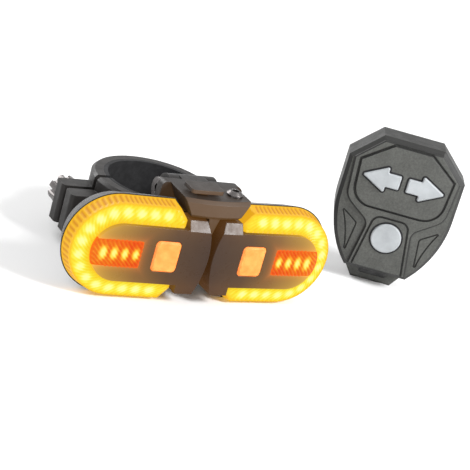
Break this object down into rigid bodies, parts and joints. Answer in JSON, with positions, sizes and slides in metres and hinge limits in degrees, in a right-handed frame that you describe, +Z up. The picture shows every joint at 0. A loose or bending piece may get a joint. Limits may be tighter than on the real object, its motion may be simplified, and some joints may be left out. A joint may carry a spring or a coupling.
{
  "type": "bicycle turn signal light",
  "caption": "Twin-wing bicycle turn signal and brake light on a tilting seat post bracket, with slide-off lights, push buttons and a handlebar remote.",
  "frame": {"origin": "on the seat post's axis, at the lower face of its clamp, which stands on Z = 0", "axes": "+Z up along the seat post; the lights face -Y and the post is behind them; +X to the right seen from behind the bicycle"},
  "size_m": [0.1444, 0.067, 0.0524],
  "materials": {
    "clear_lens": "clear prismatic moulding",
    "black_gloss": "gloss",
    "black_shell": "fine satin",
    "orange_button": "translucent, lit from behind",
    "switch_metal": "plated",
    "white_board": "satin white",
    "amber_led": "lit",
    "red_led": "lit",
    "black_rubber": "matt",
    "steel": "zinc plated",
    "battery_foil": "foil pouch",
    "bracket_black": "moulded, fine grain",
    "remote_grey": "satin dark grey",
    "key_grey": "satin light grey",
    "keypad_rubber": "silicone",
    "green_board": "solder mask"
  },
  "bodies": {
    "clamp": {"clamp_front": "bracket_black", "liner_front": "black_rubber", "clamp_nuts": "steel", "tilt_bolt": "steel", "tilt_nut": "steel"},
    "rear_jaw": {"clamp_rear": "bracket_black", "liner_rear": "black_rubber"},
    "left_screw": {"left_clamp_screw": "steel"},
    "right_screw": {"right_clamp_screw": "steel"},
    "bracket": {"carrier": "bracket_black", "hub_screw": "steel"},
    "key": {"release_key": "bracket_black"},
    "left_light": {"left_lens": "clear_lens", "left_front_cover": "black_gloss", "left_button_switch": "switch_metal", "left_led_board": "white_board", "left_amber_leds": "amber_led", "left_red_leds": "red_led", "left_reflector": "white_board", "left_back_shell": "black_shell", "left_gasket": "black_rubber", "left_shell_screws": "steel", "left_battery": "battery_foil", "left_usb_socket": "switch_metal"},
    "left_push_button": {"left_button": "orange_button"},
    "left_plug": {"left_port_plug": "black_rubber"},
    "right_light": {"right_lens": "clear_lens", "right_front_cover": "black_gloss", "right_button_switch": "switch_metal", "right_led_board": "white_board", "right_amber_leds": "amber_led", "right_red_leds": "red_led", "right_reflector": "white_board", "right_back_shell": "black_shell", "right_gasket": "black_rubber", "right_shell_screws": "steel", "right_battery": "battery_foil", "right_usb_socket": "switch_metal"},
    "right_push_button": {"right_button": "orange_button"},
    "right_plug": {"right_port_plug": "black_rubber"},
    "remote": {"remote_top_shell": "remote_grey", "remote_bottom_shell": "remote_grey", "remote_keypad_mat": "keypad_rubber", "remote_circuit_board": "green_board", "remote_cell_contacts": "steel", "remote_coin_cell": "steel", "remote_screws": "steel", "remote_handlebar_pad": "black_rubber"},
    "left_arrow_button": {"remote_left_arrow_key": "key_grey"},
    "right_arrow_button": {"remote_right_arrow_key": "key_grey"},
    "power_button": {"remote_power_key": "key_grey"},
    "battery_door": {"remote_battery_door": "remote_grey"}
  },
  "joints": [
    {"name": "bracket_tilt", "type": "hinge", "parent": "clamp", "child": "bracket", "pos_m": [0, -0.0215, 0.0282], "axis": [-1, 0, 0], "range_deg": [0, 40]},
    {"name": "rear_jaw_slide", "type": "slide", "parent": "clamp", "child": "rear_jaw", "axis": [0, 1, 0], "range_m": [0, 0.024]},
    {"name": "left_screw_turn", "type": "hinge", "parent": "rear_jaw", "child": "left_screw", "pos_m": [-0.025, 0.007, 0.011], "axis": [0, -1, 0], "continuous": true},
    {"name": "right_screw_turn", "type": "hinge", "parent": "rear_jaw", "child": "right_screw", "pos_m": [0.025, 0.007, 0.011], "axis": [0, -1, 0], "continuous": true},
    {"name": "release_key_press", "type": "slide", "parent": "bracket", "child": "key", "axis": [0, 0, -1], "range_m": [0, 0.001], "stiffness_N_per_m": 600, "springref_m": -0.0005},
    {"name": "left_light_slide", "type": "slide", "parent": "bracket", "child": "left_light", "axis": [-0.999, 0.0436, 0], "range_m": [0, 0.018]},
    {"name": "left_button_press", "type": "slide", "parent": "left_light", "child": "left_push_button", "axis": [0.0436, 0.999, 0], "range_m": [0, 0.0006], "stiffness_N_per_m": 900, "springref_m": -0.0005},
    {"name": "left_port_plug_open", "type": "hinge", "parent": "left_light", "child": "left_plug", "pos_m": [-0.01955, -0.03067, 0.0214], "axis": [0.999, -0.0436, 0], "range_deg": [0, 110]},
    {"name": "right_light_slide", "type": "slide", "parent": "bracket", "child": "right_light", "axis": [0.999, 0.0436, 0], "range_m": [0, 0.018]},
    {"name": "right_button_press", "type": "slide", "parent": "right_light", "child": "right_push_button", "axis": [-0.0436, 0.999, 0], "range_m": [0, 0.0006], "stiffness_N_per_m": 900, "springref_m": -0.0005},
    {"name": "right_port_plug_open", "type": "hinge", "parent": "right_light", "child": "right_plug", "pos_m": [0.01955, -0.03067, 0.0214], "axis": [0.999, 0.0436, 0], "range_deg": [0, 110]},
    {"name": "remote_lift", "type": "slide", "parent": "clamp", "child": "remote", "axis": [0, 0, 1], "range_m": [0, 0.1]},
    {"name": "remote_left_arrow_press", "type": "slide", "parent": "remote", "child": "left_arrow_button", "axis": [0.5, 0.866, 0], "range_m": [0, 0.0008], "stiffness_N_per_m": 500, "springref_m": -0.0005},
    {"name": "remote_right_arrow_press", "type": "slide", "parent": "remote", "child": "right_arrow_button", "axis": [0.5, 0.866, 0], "range_m": [0, 0.0008], "stiffness_N_per_m": 500, "springref_m": -0.0005},
    {"name": "remote_power_press", "type": "slide", "parent": "remote", "child": "power_button", "axis": [0.5, 0.866, 0], "range_m": [0, 0.0008], "stiffness_N_per_m": 500, "springref_m": -0.0005},
    {"name": "battery_door_turn", "type": "hinge", "parent": "remote", "child": "battery_door", "pos_m": [0.0825, -0.01474, 0.0344], "axis": [0.5, 0.866, 0], "range_deg": [0, 60]}
  ]
}
